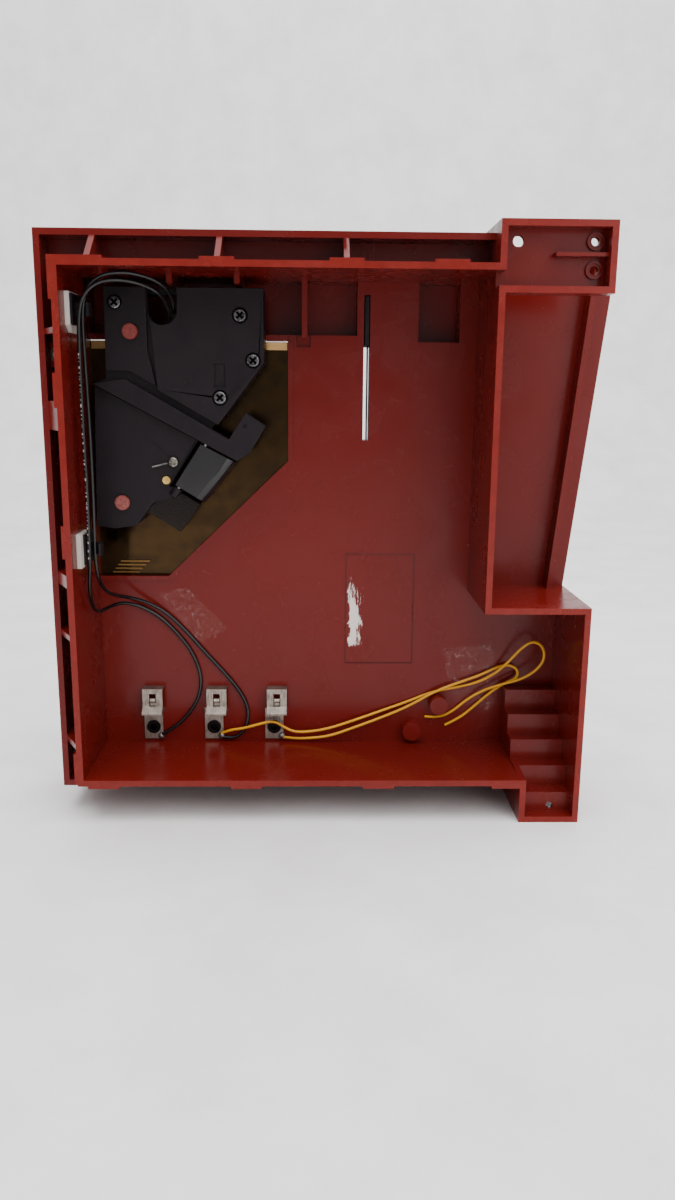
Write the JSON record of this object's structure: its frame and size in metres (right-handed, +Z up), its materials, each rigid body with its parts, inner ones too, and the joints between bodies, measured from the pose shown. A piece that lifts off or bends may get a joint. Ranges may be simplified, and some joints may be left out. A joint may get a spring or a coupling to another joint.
{
  "type": "ticket vending machine casing",
  "caption": "Red moulded casing of a small ticket vending machine, open at its service side, with coin mechanism, docking contacts and wiring inside.",
  "frame": {"origin": "middle of the footprint's bounding box, on the surface that the machine stands on", "axes": "+X to the right seen from the open service side, +Y towards the customer side, +Z up"},
  "size_m": [0.2306, 0.062, 0.239],
  "materials": {
    "red_abs": "semi-gloss moulded",
    "gold_plate": "polished",
    "black_button": "gloss",
    "spring_steel": "satin",
    "black_abs": "satin",
    "black_satin": "semi-gloss",
    "smoked_clear": "clear",
    "black_screw": "black oxide",
    "zinc_screw": "zinc plated",
    "brass": "turned",
    "red_plunger": "satin",
    "solder": "dull",
    "white_foam": "matt",
    "black_pvc": "satin",
    "yellow_pvc": "satin",
    "clear_tape": "clear",
    "tinned_steel": "satin"
  },
  "bodies": {
    "casing": {"casing": "red_abs", "coin_plate": "gold_plate", "coin_bezel": "red_abs", "return_spring": "spring_steel", "mech_base": "black_abs", "mech_cover": "black_abs", "mech_rail": "black_abs", "mech_lower_plate": "black_abs", "gate_hinge_pin": "spring_steel", "coin_outlet": "smoked_clear", "coin_runway": "black_abs", "cover_screws": "black_screw", "spring_screw": "zinc_screw", "brass_pin": "brass", "gate_spring": "spring_steel", "coin_switch": "black_abs", "ticket_guide": "black_abs", "ticket_blade": "black_screw", "contact_left": "tinned_steel", "contact_middle": "tinned_steel", "contact_right": "tinned_steel", "contact_rivets": "black_screw", "contact_solder": "solder", "clip_pad_upper": "white_foam", "clip_pad_lower": "white_foam", "cable_clip_upper": "black_abs", "cable_clip_lower": "black_abs", "channel_screw": "zinc_screw", "channel_washer": "zinc_screw", "black_wire_left": "black_pvc", "black_wire_right": "black_pvc", "yellow_wire_upper": "yellow_pvc", "yellow_wire_lower": "yellow_pvc", "tape_left": "clear_tape", "tape_right": "clear_tape"},
    "button": {"return_button": "black_button"},
    "gate": {"coin_gate": "black_satin"},
    "lever": {"switch_lever": "spring_steel"},
    "plunger": {"switch_plunger": "red_plunger"},
    "tongue_left": {"contact_tongue_left": "tinned_steel"},
    "tongue_middle": {"contact_tongue_middle": "tinned_steel"},
    "tongue_right": {"contact_tongue_right": "tinned_steel"}
  },
  "joints": [
    {"name": "return_button_slide", "type": "slide", "parent": "casing", "child": "button", "axis": [0, -1, 0], "range_m": [0, 0.0036], "stiffness_N_per_m": 200, "springref_m": -0.003, "deforming": ["return_spring"]},
    {"name": "coin_gate_hinge", "type": "hinge", "parent": "casing", "child": "gate", "pos_m": [-0.06506, -0.0024, 0.13732], "axis": [-0.5489, 0, -0.8359], "range_deg": [0, 20]},
    {"name": "switch_lever_hinge", "type": "hinge", "parent": "casing", "child": "lever", "pos_m": [-0.0754, 0.006, 0.18825], "axis": [0, -1, 0], "range_deg": [0, 4], "stiffness_Nm_per_rad": 0.002, "springref_deg": -5.73},
    {"name": "switch_plunger_slide", "type": "slide", "parent": "casing", "child": "plunger", "axis": [0, 0, 1], "range_m": [0, 0.00039]},
    {"name": "contact_tongue_left_flex", "type": "hinge", "parent": "casing", "child": "tongue_left", "pos_m": [-0.0816, 0.0118, 0.0349], "axis": [-1, 0, 0], "range_deg": [0, 5], "stiffness_Nm_per_rad": 0.004, "springref_deg": -1.15},
    {"name": "contact_tongue_middle_flex", "type": "hinge", "parent": "casing", "child": "tongue_middle", "pos_m": [-0.0528, 0.0118, 0.0349], "axis": [-1, 0, 0], "range_deg": [0, 5], "stiffness_Nm_per_rad": 0.004, "springref_deg": -1.15},
    {"name": "contact_tongue_right_flex", "type": "hinge", "parent": "casing", "child": "tongue_right", "pos_m": [-0.0256, 0.0118, 0.0349], "axis": [-1, 0, 0], "range_deg": [0, 5], "stiffness_Nm_per_rad": 0.004, "springref_deg": -1.15}
  ],
  "couplings": [
    {"joint": "coin_gate_hinge", "follows": "return_button_slide", "rad_per_m": 96.963},
    {"joint": "switch_plunger_slide", "follows": "switch_lever_hinge", "m_per_rad": 0.005443}
  ]
}
